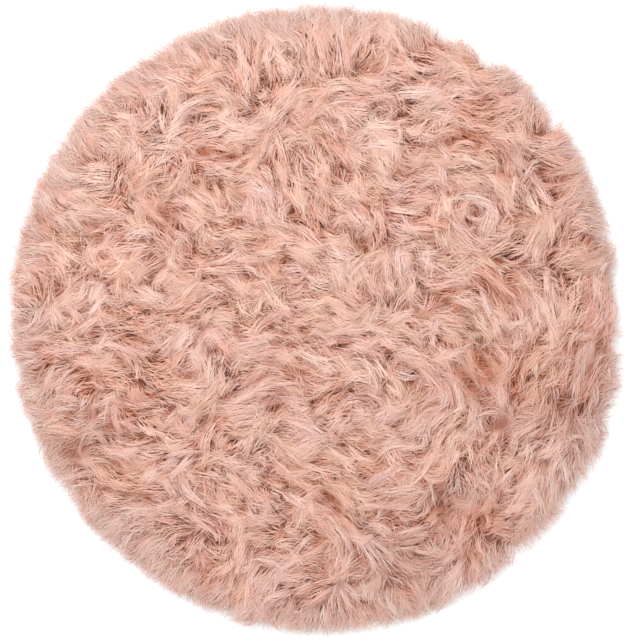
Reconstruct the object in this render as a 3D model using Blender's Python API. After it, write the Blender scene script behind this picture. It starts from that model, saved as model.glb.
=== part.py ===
# Round long-pile shag rug lying flat: one lumpy slab of pile, with locks fused round its rim.
# Metres, +Z up. The origin is on the floor, under the middle of the rug.

import math
import random
from collections import namedtuple

import bmesh
import bpy
import numpy as np
from mathutils import Vector

# Overall sizes
RUG_RADIUS = 0.500            # middle of the rug to the tips of the rim locks, on average
PILE_DEPTH = 0.031            # depth of the combed pile over the middle of the rug, under the tufts
SHOULDER_DEPTH = 0.024        # depth of the pile where it turns down at the rim
SHOULDER_ROUNDNESS = 5.0      # how late and how sharply the pile turns down towards the rim
RIM_LOCK_REACH = 0.038        # how far the rim locks stand out from the slab, on average

# Facets
GRID_CELLS = 50               # cells across the top, so four times this many columns round the rim
CELL_JITTER = 0.16            # how far a point of the top strays, as a share of its cell

# Tufts: overlapping pointed leaves of pile that rise from root to tip and follow its lay
TUFT_COUNT = 300
TUFT_LENGTH = 0.095
TUFT_WIDTH = 0.026            # half the width, at the widest
TUFT_HEIGHT = (0.010, 0.022)  # lowest and highest tuft, at the crest
TUFT_CREST = 0.72             # where the crest is, as a share of the length
TUFT_LEAN = 0.22              # how far the pile leans over for its rise
TUFT_TURN = 0.32              # radians that a tuft strays from the lay, as a standard deviation
TUFT_STRAY = 0.006            # how far a tuft strays from its place, as a standard deviation
TUFT_CALM_START = 0.90        # share of the slab's radius where the tufts begin to flatten
TUFT_CALMING = 0.55           # share of their height that they have lost at the rim
GOLDEN_ANGLE = math.pi * (3.0 - math.sqrt(5.0))

# Rim, from the top's edge down: how far each row is drawn in from the fullest one, and its height
# as a share of the height of the row above
TOP_INSET = 0.016
RimRow = namedtuple("RimRow", "inset height_share")
RIM_ROWS = (
    RimRow(0.005, 0.74),
    RimRow(0.000, 0.38),
    RimRow(0.005, 0.00),
)

# Locks drawn out of the cells between those rows: the first column and the step between locks, how
# far they reach past the slab, how far they have sunk at each section and at the tip as shares of
# their root's height
LockRow = namedtuple("LockRow", "first step reach sinks tip_sink")
LOCK_ROWS = (
    LockRow(0, 4, 0.020, (-0.03, 0.01), 0.12),
    LockRow(1, 2, 0.034, (0.04, 0.30), 0.58),
    LockRow(0, 2, 0.038, (0.00, 0.00), 1.00),
)
LOCK_STEPS = (0.38, 0.74)     # where the sections stand, as shares of the lock's reach
LOCK_WIDTHS = (1.12, 0.76)    # their widths, as shares of the root's
LOCK_HEIGHTS = (0.76, 0.42)   # their heights, as shares of the root's
LOCK_SLOPES = (0.35, 0.00)    # how much of the root's slope is left in them
REACH_SPREAD = (-0.010, 0.006)
SWING_SPREAD = 7.0            # degrees that one lock turns away from its neighbours
SwingWave = namedtuple("SwingWave", "waves degrees phase")
SWING_WAVES = (
    SwingWave(3, 16.0, 40.0),
    SwingWave(7, 13.0, 110.0),
    SwingWave(11, 8.0, 250.0),
)
FLOOR_TOLERANCE = 1e-6
SEED = 24

# Unevenness of the round outline: waves round the rim, swing in metres, phase in degrees
OutlineWave = namedtuple("OutlineWave", "waves swing phase")
OUTLINE_WAVES = (
    OutlineWave(2, 0.0059, 155.0),
    OutlineWave(3, 0.0019, -177.0),
    OutlineWave(4, 0.0019, 140.0),
    OutlineWave(5, 0.0028, 110.0),
    OutlineWave(6, 0.0012, 87.0),
)

# Which way the pile is combed: place, heading of the tips in degrees, reach of the stroke
COMB_COLUMNS = ("x", "y", "heading", "reach")
COMBS = (
    (-0.24, 0.42, 150.0, 0.06),
    (-0.07, 0.43, 108.0, 0.07),
    (0.05, 0.44, 70.0, 0.05),
    (0.19, 0.42, -20.0, 0.07),
    (-0.27, 0.37, 175.0, 0.04),
    (-0.24, 0.33, 92.0, 0.03),
    (-0.37, 0.25, 145.0, 0.06),
    (-0.14, 0.27, 0.0, 0.05),
    (-0.04, 0.29, 35.0, 0.04),
    (0.12, 0.36, 0.0, 0.06),
    (0.29, 0.33, 28.0, 0.06),
    (-0.01, 0.24, -65.0, 0.05),
    (-0.22, 0.17, -48.0, 0.05),
    (-0.32, 0.21, 80.0, 0.04),
    (0.39, 0.25, 8.0, 0.06),
    (0.32, 0.19, -35.0, 0.04),
    (0.12, 0.16, -18.0, 0.07),
    (-0.16, 0.10, 0.0, 0.10),
    (-0.43, 0.10, 155.0, 0.05),
    (0.03, 0.12, -42.0, 0.05),
    (0.20, 0.04, 0.0, 0.06),
    (0.36, 0.03, -80.0, 0.05),
    (-0.30, -0.05, -2.0, 0.10),
    (-0.10, -0.02, 3.0, 0.08),
    (0.05, -0.10, -4.0, 0.10),
    (0.23, -0.09, -52.0, 0.05),
    (0.19, -0.17, 45.0, 0.05),
    (0.35, -0.12, -120.0, 0.06),
    (-0.09, -0.15, 32.0, 0.05),
    (-0.18, -0.18, 45.0, 0.04),
    (-0.30, -0.17, -12.0, 0.07),
    (-0.29, -0.28, 0.0, 0.06),
    (-0.21, -0.29, -45.0, 0.04),
    (-0.37, -0.31, -140.0, 0.05),
    (0.02, -0.29, -38.0, 0.06),
    (0.13, -0.30, 6.0, 0.05),
    (-0.09, -0.35, 35.0, 0.05),
    (0.02, -0.41, -92.0, 0.05),
    (0.12, -0.39, -45.0, 0.05),
    (0.22, -0.40, -125.0, 0.05),
    (0.36, -0.30, -65.0, 0.06),
    (0.41, -0.22, -85.0, 0.05),
)
COMB_SOFTNESS = 0.15          # how evenly the middle of a stroke holds its heading
OUTWARD_START = 0.86          # share of the radius where the pile begins to comb outwards
OUTWARD_STRENGTH = 2.5

# Swirls, where the pile lies in a ring round a low middle
SWIRL_RING_WIDTH = 0.38       # as a share of the swirl's radius
SWIRL_MIDDLE_WIDTH = 0.55
SWIRL_MIDDLE_DEPTH = 0.60     # as a share of the ring's rise
SWIRL_COLUMNS = ("x", "y", "radius", "rise")
SWIRLS = (
    (0.260, 0.170, 0.052, 0.008),
    (0.420, 0.145, 0.040, 0.007),
    (0.225, 0.280, 0.040, 0.006),
    (0.105, 0.330, 0.030, 0.005),
    (-0.390, -0.250, 0.036, 0.006),
    (-0.170, -0.350, 0.036, 0.006),
    (-0.035, -0.400, 0.045, 0.006),
    (0.275, -0.165, 0.036, 0.007),
)

# Hollows, where the pile parts and shades itself
HOLLOW_COLUMNS = ("x", "y", "radius", "depth")
HOLLOWS = (
    (-0.181, 0.272, 0.026, 0.012),
    (-0.197, 0.323, 0.024, 0.009),
    (-0.135, 0.258, 0.022, 0.009),
    (-0.131, 0.190, 0.024, 0.009),
    (-0.277, 0.174, 0.024, 0.009),
    (-0.240, 0.157, 0.026, 0.011),
    (-0.204, 0.140, 0.024, 0.009),
    (-0.350, 0.115, 0.026, 0.012),
    (0.148, 0.247, 0.026, 0.010),
    (0.386, 0.226, 0.026, 0.010),
    (0.100, 0.300, 0.022, 0.008),
    (-0.254, -0.055, 0.024, 0.009),
    (-0.184, -0.160, 0.026, 0.010),
    (-0.069, -0.144, 0.026, 0.012),
    (-0.400, -0.217, 0.030, 0.011),
    (0.240, -0.097, 0.026, 0.010),
    (0.262, -0.062, 0.024, 0.010),
    (0.043, -0.202, 0.024, 0.008),
    (0.025, -0.290, 0.028, 0.012),
    (0.260, -0.325, 0.026, 0.010),
    (0.197, -0.312, 0.026, 0.010),
    (-0.160, -0.300, 0.026, 0.010),
)

# Colour of the pile
BLUSH = (0.68, 0.39, 0.32, 1.0)
PILE_ROUGHNESS = 0.85


def table(columns, rows):
    """The columns of a table by name, each as an upright array."""
    values = np.array(rows)
    return {name: values[:, index][:, None] for index, name in enumerate(columns)}


def smooth_step(value):
    value = np.clip(value, 0.0, 1.0)
    return value * value * (3.0 - 2.0 * value)


def outline_radius(angle):
    """Distance from the middle to the tips of the fur in a direction round the rug."""
    radius = RUG_RADIUS
    for wave in OUTLINE_WAVES:
        radius = radius + wave.swing * np.cos(wave.waves * angle + math.radians(wave.phase))
    return radius


def slab_radius(angle):
    return outline_radius(angle) - RIM_LOCK_REACH


def disc_place(u, v):
    """A place on the square from -1 to 1, taken to the round slab."""
    if abs(u) > abs(v):
        share, angle = u, math.pi / 4 * v / u
    elif v != 0.0:
        share, angle = v, math.pi / 2 - math.pi / 4 * u / v
    else:
        share, angle = 0.0, 0.0
    if share < 0.0:
        share, angle = -share, angle + math.pi
    radius = share * (slab_radius(angle) - TOP_INSET)
    return radius * math.cos(angle), radius * math.sin(angle)


def lay_heading(x, y):
    """Heading of the pile's tips, in radians, at many places at once."""
    combs = table(COMB_COLUMNS, COMBS)
    distance = np.hypot(x - combs["x"], y - combs["y"]) / combs["reach"]
    weight = 1.0 / (COMB_SOFTNESS + distance ** 2) ** 2
    heading = np.radians(combs["heading"])
    along_x = (weight * np.cos(heading)).sum(axis=0) / weight.sum(axis=0)
    along_y = (weight * np.sin(heading)).sum(axis=0) / weight.sum(axis=0)

    radius = np.hypot(x, y)
    share = radius / RUG_RADIUS
    outward = OUTWARD_STRENGTH * smooth_step((share - OUTWARD_START) / (1.0 - OUTWARD_START))
    along_x = along_x + outward * x / np.maximum(radius, 1e-6)
    along_y = along_y + outward * y / np.maximum(radius, 1e-6)
    return np.arctan2(along_y, along_x)


def tuft_rise(x, y):
    """Height that the overlapping tufts add, the highest tuft winning at each place."""
    chance = np.random.default_rng(SEED)
    order = np.arange(TUFT_COUNT) + 0.5
    radius = RUG_RADIUS * np.sqrt(order / TUFT_COUNT) + chance.normal(0.0, TUFT_STRAY, TUFT_COUNT)
    angle = order * GOLDEN_ANGLE
    tuft_x = radius * np.cos(angle)
    tuft_y = radius * np.sin(angle)
    heading = lay_heading(tuft_x, tuft_y) + chance.normal(0.0, TUFT_TURN, TUFT_COUNT)
    height = chance.uniform(*TUFT_HEIGHT, TUFT_COUNT)

    away_x = x[None, :] - tuft_x[:, None]
    away_y = y[None, :] - tuft_y[:, None]
    along = away_x * np.cos(heading)[:, None] + away_y * np.sin(heading)[:, None]
    across = away_y * np.cos(heading)[:, None] - away_x * np.sin(heading)[:, None]
    share = np.clip(along / TUFT_LENGTH + 0.5, 0.0, 1.0)
    climb = np.minimum(share / TUFT_CREST, (1.0 - share) / (1.0 - TUFT_CREST))
    half_width = TUFT_WIDTH * np.sqrt(np.maximum(climb, 1e-6))
    ridge = np.maximum(1.0 - (across / half_width) ** 2, 0.0)
    return (height[:, None] * smooth_step(climb) * ridge).max(axis=0)


def pile_height(x, y):
    """Height of the pile's top over the floor, at many places at once."""
    share = np.hypot(x, y) / slab_radius(np.arctan2(y, x))
    crown = SHOULDER_DEPTH + (PILE_DEPTH - SHOULDER_DEPTH) * (1.0 - share ** SHOULDER_ROUNDNESS)
    calm = TUFT_CALMING * smooth_step((share - TUFT_CALM_START) / (1.0 - TUFT_CALM_START))
    height = crown + (1.0 - calm) * tuft_rise(x, y)

    hollows = table(HOLLOW_COLUMNS, HOLLOWS)
    distance = np.hypot(x - hollows["x"], y - hollows["y"]) / hollows["radius"]
    height = height - (hollows["depth"] * np.exp(-distance ** 2)).sum(axis=0)

    swirls = table(SWIRL_COLUMNS, SWIRLS)
    distance = np.hypot(x - swirls["x"], y - swirls["y"]) / swirls["radius"]
    ring = np.exp(-((distance - 1.0) / SWIRL_RING_WIDTH) ** 2)
    middle = np.exp(-(distance / SWIRL_MIDDLE_WIDTH) ** 2)
    return height + (swirls["rise"] * (ring - SWIRL_MIDDLE_DEPTH * middle)).sum(axis=0)


def shape_top(mesh):
    """Turn the flat square grid into the round, lumpy top of the pile."""
    chance = random.Random(SEED)
    stray = CELL_JITTER * 2.0 / GRID_CELLS
    for vert in mesh.verts:
        if not vert.is_boundary:
            vert.co.x += chance.uniform(-stray, stray)
            vert.co.y += chance.uniform(-stray, stray)
        vert.co.x, vert.co.y = disc_place(vert.co.x, vert.co.y)

    x = np.array([vert.co.x for vert in mesh.verts])
    y = np.array([vert.co.y for vert in mesh.verts])
    heading = lay_heading(x, y)
    lean = TUFT_LEAN * tuft_rise(x, y)
    height = pile_height(x, y)
    for index, vert in enumerate(mesh.verts):
        vert.co.z = float(height[index])
        if not vert.is_boundary:
            vert.co.x += lean[index] * math.cos(heading[index])
            vert.co.y += lean[index] * math.sin(heading[index])


def turns_left(first, second, third):
    """Whether three points turn left, seen from above."""
    step = second.co - first.co
    next_step = third.co - first.co
    return step.x * next_step.y > step.y * next_step.x


def split_along_lay(mesh):
    """Split each cell of the top along the diagonal that lies closer to the lay of the pile."""
    cells = list(mesh.faces)
    middles = [cell.calc_center_median() for cell in cells]
    headings = lay_heading(np.array([m.x for m in middles]), np.array([m.y for m in middles]))
    for cell, heading in zip(cells, headings):
        one, two, three, four = cell.verts
        diagonals = []
        if turns_left(one, two, three) and turns_left(one, three, four):
            diagonals.append((one, three))
        if turns_left(two, three, four) and turns_left(two, four, one):
            diagonals.append((two, four))
        straightness = []
        for start, end in diagonals:
            step = (end.co - start.co).to_2d().normalized()
            straightness.append(abs(step.x * math.cos(heading) + step.y * math.sin(heading)))
        bmesh.utils.face_split(cell, *diagonals[straightness.index(max(straightness))])


def rim_row(mesh, edges, row):
    """Extrude the open edge of the pile into a row further down its rim."""
    grown = bmesh.ops.extrude_edge_only(mesh, edges=edges)["geom"]
    faces = [item for item in grown if isinstance(item, bmesh.types.BMFace)]
    edges = [item for item in grown if isinstance(item, bmesh.types.BMEdge) and item.is_boundary]
    for vert in {vert for edge in edges for vert in edge.verts}:
        angle = math.atan2(vert.co.y, vert.co.x)
        radius = slab_radius(angle) - row.inset
        vert.co.x = radius * math.cos(angle)
        vert.co.y = radius * math.sin(angle)
        vert.co.z *= row.height_share
    return faces, edges


def lock_swing(angle):
    """Degrees that the rim locks turn sideways, changing slowly round the rug."""
    return sum(wave.degrees * math.sin(wave.waves * angle + math.radians(wave.phase)) for wave in SWING_WAVES)


def draw_lock(mesh, face, chance, row):
    """Draw one cell of the rim out into a pointed lock with four sides."""
    root = face.calc_center_median()
    angle = math.atan2(root.y, root.x)
    swing = math.radians(lock_swing(angle) + chance.uniform(-SWING_SPREAD, SWING_SPREAD))
    reach = slab_radius(angle) - math.hypot(root.x, root.y) + row.reach + chance.uniform(*REACH_SPREAD)
    reach /= math.cos(swing)
    outward = Vector((math.cos(angle + swing), math.sin(angle + swing), 0.0))
    lies_on_floor = min(vert.co.z for vert in face.verts) < FLOOR_TOLERANCE

    corners = [vert.co - root for vert in face.verts]
    sections = zip(LOCK_STEPS, LOCK_WIDTHS, LOCK_HEIGHTS, LOCK_SLOPES, row.sinks)
    for step, width, height, slope, sink in sections:
        face = bmesh.ops.extrude_discrete_faces(mesh, faces=[face])["faces"][0]
        for vert, corner in zip(face.verts, corners):
            along = outward * corner.dot(outward)
            vert.co = root + outward * step * reach + along * slope + (corner - along) * width
            vert.co.z = root.z * (1.0 - sink) + height * corner.z
            if lies_on_floor:
                vert.co.z = height * (root.z + corner.z)

    face = bmesh.ops.extrude_discrete_faces(mesh, faces=[face])["faces"][0]
    tip = root + outward * reach
    tip.z = root.z * (1.0 - row.tip_sink)
    bmesh.ops.pointmerge(mesh, verts=list(face.verts), merge_co=tip)


def angle_round_rim(face):
    middle = face.calc_center_median()
    return math.atan2(middle.y, middle.x)


def pile_mesh():
    mesh = bmesh.new()
    bmesh.ops.create_grid(mesh, x_segments=GRID_CELLS, y_segments=GRID_CELLS, size=1.0)
    shape_top(mesh)
    split_along_lay(mesh)

    open_edge = [edge for edge in mesh.edges if edge.is_boundary]
    rim_cells = []
    for row in RIM_ROWS:
        cells, open_edge = rim_row(mesh, open_edge, row)
        rim_cells.append(sorted(cells, key=angle_round_rim))
    bmesh.ops.contextual_create(mesh, geom=open_edge)

    chance = random.Random(SEED)
    for cells, row in zip(rim_cells, LOCK_ROWS):
        for cell in cells[row.first::row.step]:
            draw_lock(mesh, cell, chance, row)

    bmesh.ops.recalc_face_normals(mesh, faces=mesh.faces)
    low = [min(vert.co[axis] for vert in mesh.verts) for axis in range(2)]
    high = [max(vert.co[axis] for vert in mesh.verts) for axis in range(2)]
    middle = (-(low[0] + high[0]) / 2, -(low[1] + high[1]) / 2, 0.0)
    bmesh.ops.translate(mesh, verts=mesh.verts, vec=middle)
    return mesh


def pile_material():
    material = bpy.data.materials.new("blush_pile")
    material.use_nodes = True
    shader = material.node_tree.nodes["Principled BSDF"]
    shader.inputs["Base Color"].default_value = BLUSH
    shader.inputs["Roughness"].default_value = PILE_ROUGHNESS
    shader.inputs["Metallic"].default_value = 0.0
    return material


def build_pile():
    mesh = pile_mesh()
    data = bpy.data.meshes.new("pile")
    mesh.to_mesh(data)
    mesh.free()
    data.shade_smooth()
    data.materials.append(pile_material())
    pile = bpy.data.objects.new("pile", data)
    bpy.context.scene.collection.objects.link(pile)
    return pile


def main():
    for item in list(bpy.data.objects):
        bpy.data.objects.remove(item, do_unlink=True)
    build_pile()


main()
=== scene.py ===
import math
from collections import namedtuple

import bmesh
import bpy
import numpy as np
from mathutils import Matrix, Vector
from mathutils.bvhtree import BVHTree


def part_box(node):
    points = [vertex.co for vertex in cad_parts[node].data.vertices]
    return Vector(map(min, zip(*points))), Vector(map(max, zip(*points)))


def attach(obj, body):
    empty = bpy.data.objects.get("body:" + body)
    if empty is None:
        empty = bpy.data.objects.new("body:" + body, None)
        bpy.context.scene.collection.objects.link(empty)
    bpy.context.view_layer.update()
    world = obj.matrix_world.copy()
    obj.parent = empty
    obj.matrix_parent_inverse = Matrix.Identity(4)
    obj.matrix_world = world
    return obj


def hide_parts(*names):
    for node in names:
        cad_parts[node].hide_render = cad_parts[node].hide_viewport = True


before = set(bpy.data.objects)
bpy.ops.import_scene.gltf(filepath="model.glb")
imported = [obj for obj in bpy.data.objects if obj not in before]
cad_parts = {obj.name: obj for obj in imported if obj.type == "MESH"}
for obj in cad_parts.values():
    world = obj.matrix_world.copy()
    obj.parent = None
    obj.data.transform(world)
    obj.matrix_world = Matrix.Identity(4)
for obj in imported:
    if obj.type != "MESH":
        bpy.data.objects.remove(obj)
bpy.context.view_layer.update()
pileLow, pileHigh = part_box("pile")
print("frame loaded, pile is", [round(1000 * (b - a)) for a, b in zip(pileLow, pileHigh)], "mm")


# the photograph's frame, and where the rug lies in it

photo = {
    "width": 630,
    "height": 640,
    "middle": (317.7, 319.2),        # pixel of the rug's middle, as measured
    "metresPerPixel": 0.00162,       # the rug is 617 pixels and 1.0 m across
}


def placeOf(px, py):
    scale = photo["metresPerPixel"]
    return (px - photo["middle"][0]) * scale, (photo["middle"][1] - py) * scale


# Place of a row of a chart, as a complex number.
def pointOf(row):
    return complex(*placeOf(row.px, row.py))


def placeObject(name, data):
    placed = bpy.data.objects.new(name, data)
    bpy.context.scene.collection.objects.link(placed)
    return placed


# outline

outline = {
    "radius": 0.500,                 # middle to where the fur thins out, on average
    "waves": (                       # waves round the rim, swing in metres, phase in degrees
        (1, 0.0035, -85.0),
        (2, 0.0059, 155.0),          # this and the rest were fitted to the rug's measured edge
        (3, 0.0019, -177.0),
        (4, 0.0019, 140.0),
        (5, 0.0028, 110.0),
        (6, 0.0012, 87.0),
    ),
    "rootInset": 0.024,              # from there in to the rooting line, which seeded locks start inside
}


def outlineRadius(angle):
    radius = outline["radius"]
    for waves, swing, phase in outline["waves"]:
        radius = radius + swing * np.cos(waves * angle + math.radians(phase))
    return radius


# charts of the combed pile, in the photograph's own pixels

# Lay of the locks, in degrees up from the right; it leans on strand directions worked out from the
# photograph and drawn over it, and isn't an unaided reading.
combRow = namedtuple("combRow", "px py lay")
swirlRow = namedtuple("swirlRow", "px py reach turn")  # turn 0 fans out, 90 runs round anticlockwise
hollowRow = namedtuple("hollowRow", "px py length width lay")
# Where locks lie paler (tone above 0) or deeper, partly their own tone and partly painted light and shade,
# and greyer (ash above 0) or redder, than the rest; adjusted until its mean colours came near those of the
# photograph.
patchRow = namedtuple("patchRow", "px py reach tone ash", defaults=(0.0,))
# The plainest locks one by one: root, way, length, degrees they bend, half their width, how pale, partly a
# painted highlight.
markRow = namedtuple("markRow", "px py way length bend breadth tone")

combs = [combRow(*row) for row in (
    (170, 60, 152), (205, 42, 125), (285, 30, 133), (280, 62, 100), (155, 82, 175), (200, 96, 172),
    (165, 108, 85), (240, 105, 140), (288, 108, 32), (285, 134, 38), (232, 150, 2), (290, 165, 108),
    (92, 152, 132), (82, 172, 158), (122, 185, 85), (150, 125, 132), (165, 165, 48), (42, 210, 108),
    (95, 215, 6), (160, 218, 143), (208, 200, 135), (185, 232, 132), (240, 238, 3), (278, 205, 100),
    (55, 248, 145), (32, 266, 167), (115, 256, 22), (200, 266, 177), (255, 266, 174), (45, 293, 95),
    (120, 293, 5), (152, 300, 162), (215, 290, 160), (295, 240, 145), (333, 30, 92), (360, 32, 50),
    (330, 64, 110), (368, 58, 48), (404, 45, 135), (455, 60, 154), (480, 84, 178), (355, 96, 178),
    (415, 98, 0), (498, 103, 27), (375, 112, 155), (440, 115, 10), (535, 120, 112), (335, 132, 132),
    (380, 140, 155), (430, 138, 15), (485, 140, 2), (545, 150, 5), (460, 156, 168), (508, 170, 110),
    (565, 185, 14), (380, 184, 158), (470, 182, 3), (332, 204, 130), (395, 206, 166), (442, 210, 128),
    (520, 208, 145), (333, 235, 140), (402, 240, 168), (362, 240, 118), (508, 238, 28), (540, 250, 60),
    (325, 262, 148), (376, 266, 55), (392, 278, 88), (445, 288, 1), (505, 292, 143), (540, 290, 100),
    (575, 266, 20), (605, 295, 88), (65, 334, 12), (130, 340, 165), (166, 338, 40), (250, 335, 0),
    (285, 336, 162), (30, 355, 22), (95, 348, 4), (44, 378, 55), (115, 370, 176), (215, 376, 88),
    (255, 378, 8), (180, 382, 0), (285, 384, 162), (95, 404, 32), (150, 406, 164), (240, 406, 28),
    (42, 410, 45), (208, 422, 48), (300, 420, 176), (60, 434, 5), (130, 430, 160), (255, 432, 42),
    (190, 452, 25), (135, 456, 174), (270, 452, 6), (54, 462, 90), (200, 480, 130), (92, 494, 90),
    (125, 480, 164), (150, 494, 2), (252, 494, 120), (110, 516, 36), (205, 506, 172), (130, 532, 12),
    (262, 535, 37), (298, 540, 8), (165, 548, 42), (222, 545, 110), (140, 560, 45), (262, 562, 38),
    (298, 566, 176), (238, 580, 55), (172, 574, 60), (285, 610, 58), (330, 342, 170), (372, 342, 6),
    (405, 348, 158), (440, 356, 152), (482, 354, 128), (535, 350, 45), (600, 365, 62), (345, 378, 176),
    (390, 378, 110), (460, 382, 128), (530, 388, 57), (575, 390, 70), (345, 405, 173), (420, 406, 38),
    (350, 432, 176), (440, 434, 43), (520, 430, 48), (580, 436, 100), (362, 460, 178), (475, 464, 110),
    (508, 455, 45), (573, 468, 86), (328, 480, 156), (388, 480, 177), (542, 478, 66), (325, 505, 145),
    (398, 508, 8), (446, 506, 90), (470, 505, 55), (512, 505, 25), (545, 510, 58), (362, 548, 108),
    (385, 546, 142), (412, 542, 5), (440, 548, 42), (345, 566, 72), (402, 566, 146), (458, 566, 68),
    (484, 566, 105), (362, 584, 50), (404, 594, 120), (442, 586, 50), (325, 604, 74), (350, 608, 118),
    (372, 606, 130),
)]

swirls = [swirlRow(*row) for row in (
    (169, 145, 22, 0), (337, 578, 20, 0), (364, 534, 16, 0), (476, 213, 22, 84), (587, 238, 14, 84),
    (456, 147, 13, -80), (382, 116, 11, 85), (78, 475, 15, -80), (214, 538, 16, 85), (488, 420, 13, -85),
    (94, 262, 12, 0), (292, 212, 11, -80),
)]

hollows = [hollowRow(*row) for row in (
    (204, 153, 20, 6, 0), (230, 158, 12, 4, 8), (266, 162, 7, 5, 90), (196, 121, 12, 7, 20),
    (177, 176, 8, 5, 60), (210, 186, 9, 5, 120), (238, 201, 8, 9, 60), (174, 222, 20, 6, 138),
    (238, 223, 9, 4, 20), (220, 261, 10, 4, 155), (268, 267, 8, 7, 30), (158, 260, 8, 4, 0),
    (210, 277, 12, 4, 0), (308, 170, 6, 8, 90), (321, 203, 8, 6, 140), (291, 212, 8, 6, 120),
    (348, 178, 5, 7, 90), (364, 205, 8, 6, 40), (404, 167, 10, 8, 60), (363, 245, 10, 5, 110),
    (389, 215, 7, 4, 0), (288, 261, 6, 5, 0), (323, 238, 9, 4, 125), (198, 49, 8, 5, 150),
    (236, 62, 7, 5, 100), (264, 76, 9, 6, 100), (248, 88, 12, 4, 5), (235, 106, 12, 6, 10),
    (250, 118, 7, 5, 120), (313, 74, 7, 5, 60), (309, 107, 9, 5, 40), (215, 130, 9, 5, 20),
    (100, 241, 7, 8, 70), (104, 257, 8, 5, 40), (556, 180, 14, 6, 10), (70, 453, 13, 6, 165),
    (275, 408, 8, 4, 30), (204, 418, 7, 8, 60), (161, 353, 8, 6, 40), (466, 380, 14, 5, 125),
    (480, 359, 12, 6, 120), (344, 444, 7, 3, 0), (333, 498, 14, 4, 145), (478, 520, 8, 5, 60),
    (441, 512, 8, 7, 90), (366, 530, 9, 5, 120), (226, 540, 9, 5, 110), (446, 147, 10, 7, 40),
    (376, 70, 8, 6, 60), (438, 88, 12, 4, 150), (96, 412, 10, 5, 30), (150, 424, 10, 4, 165),
    (440, 300, 12, 4, 0), (394, 250, 14, 4, 172), (495, 424, 9, 4, 10), (520, 270, 9, 5, 60),
    (560, 405, 8, 5, 70), (474, 214, 8, 6, 170), (598, 345, 6, 6, 60), (60, 292, 8, 5, 95),
    (300, 372, 10, 4, 165),
)]

patches = [patchRow(*row) for row in (
    (380, 140, 26, 0.9, 0.6), (88, 182, 24, 1.0, 1.0), (160, 145, 20, 1.1, 0.8), (236, 133, 18, 0.7, 0.3),
    (258, 430, 20, 0.6, 0.5), (486, 206, 16, 0.6, 0.7), (420, 98, 28, 0.8, 0.6), (300, 88, 22, 0.5),
    (345, 262, 26, 0.4, 0.3), (470, 172, 18, 0.4), (425, 262, 26, 0.3, 0.5), (180, 476, 18, 0.5),
    (385, 326, 24, 0.3, 0.6), (165, 90, 30, 0.5, 0.2), (275, 180, 22, 0.3), (350, 45, 24, 0.3, 0.2),
    (545, 145, 20, 0.4, 0.4), (505, 235, 14, 0.3, 0.3), (190, 390, 18, 0.4, -0.2),
    (60, 275, 20, 0.3, 0.1), (424, 435, 20, 0.6, 0.4), (130, 528, 30, 0.2, 0.9), (560, 478, 34, 0.1, 0.9),
    (510, 545, 30, 0.0, 0.9), (602, 425, 22, 0.0, 0.8), (605, 232, 20, -0.1, 0.7),
    (330, 190, 24, 0.0, -0.6), (140, 385, 18, -0.2, -0.8), (552, 180, 20, -0.8, -0.3),
    (474, 378, 18, -1.6, -0.1), (508, 370, 20, -1.3, -0.2), (556, 408, 18, -0.9, 0.1),
    (500, 424, 18, -1.2, 0.6), (445, 500, 28, -1.1, 0.3), (482, 518, 26, -1.0, 0.1),
    (470, 552, 16, -0.6, 0.4), (404, 586, 26, -0.7), (350, 575, 14, -0.6), (330, 533, 18, -0.4, -0.6),
    (76, 455, 20, -1.5), (140, 490, 22, -1.1), (92, 415, 20, -0.9), (130, 417, 18, -0.8),
    (85, 376, 18, -0.5, -0.5), (588, 355, 30, -1.1), (600, 270, 24, -0.5), (502, 292, 20, -1.1),
    (448, 288, 13, -0.5, -0.5), (380, 68, 20, -0.5, -0.7), (475, 108, 18, -0.9, -0.5),
    (460, 146, 16, -0.5, -0.7), (210, 150, 16, -0.8), (165, 214, 18, -1.0), (152, 178, 16, -0.2, -0.6),
    (365, 243, 14, -0.6), (275, 275, 20, -0.3), (308, 322, 14, -0.6), (90, 332, 16, -0.3, -0.3),
    (200, 472, 10, -0.6, -0.2), (215, 515, 16, -0.6, -0.3), (285, 474, 18, -0.5),
    (335, 500, 16, -0.6, -0.2), (213, 568, 14, -0.4, -0.5), (310, 412, 14, -0.4),
    (432, 546, 26, -0.6, 0.4), (590, 410, 26, -0.5, 0.4), (58, 218, 22, -0.4, 0.1),
    (33, 300, 22, -0.5, 0.2), (38, 365, 24, -0.6, 0.1), (64, 440, 22, -0.3, 0.3), (300, 30, 40, 0.2, 0.3),
    (200, 560, 24, -0.2, 0.2), (345, 590, 30, -0.3, 0.4), (395, 556, 30, -0.4, 0.3),
    (585, 460, 30, 0.0, 0.5), (250, 585, 30, 0.2, 0.2), (60, 420, 26, 0.0, 0.4), (40, 330, 26, 0.1, 0.3),
    (420, 200, 30, 0.2), (250, 60, 30, 0.3, 0.1), (421, 563, 26, -0.2, 1.0), (563, 420, 30, -0.4, 0.7),
    (440, 390, 26, -0.4), (375, 458, 24, -0.2, 0.1), (292, 375, 26, -0.5), (404, 525, 22, -0.4, 0.1),
    (110, 232, 24, -0.4), (230, 112, 26, 0.3), (345, 262, 22, 0.2), (392, 590, 20, 0.0, 0.6),
    (195, 375, 18, -0.6), (150, 372, 14, 0.6), (235, 375, 14, 0.6), (122, 322, 14, 0.5),
    (330, 222, 16, 0.5), (262, 85, 16, 0.7), (510, 257, 14, 0.5), (272, 500, 14, 0.5),
    (378, 572, 20, 0.0, 0.8), (510, 275, 16, 0.0, 0.5), (530, 395, 18, 0.0, 0.4),
)]

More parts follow.
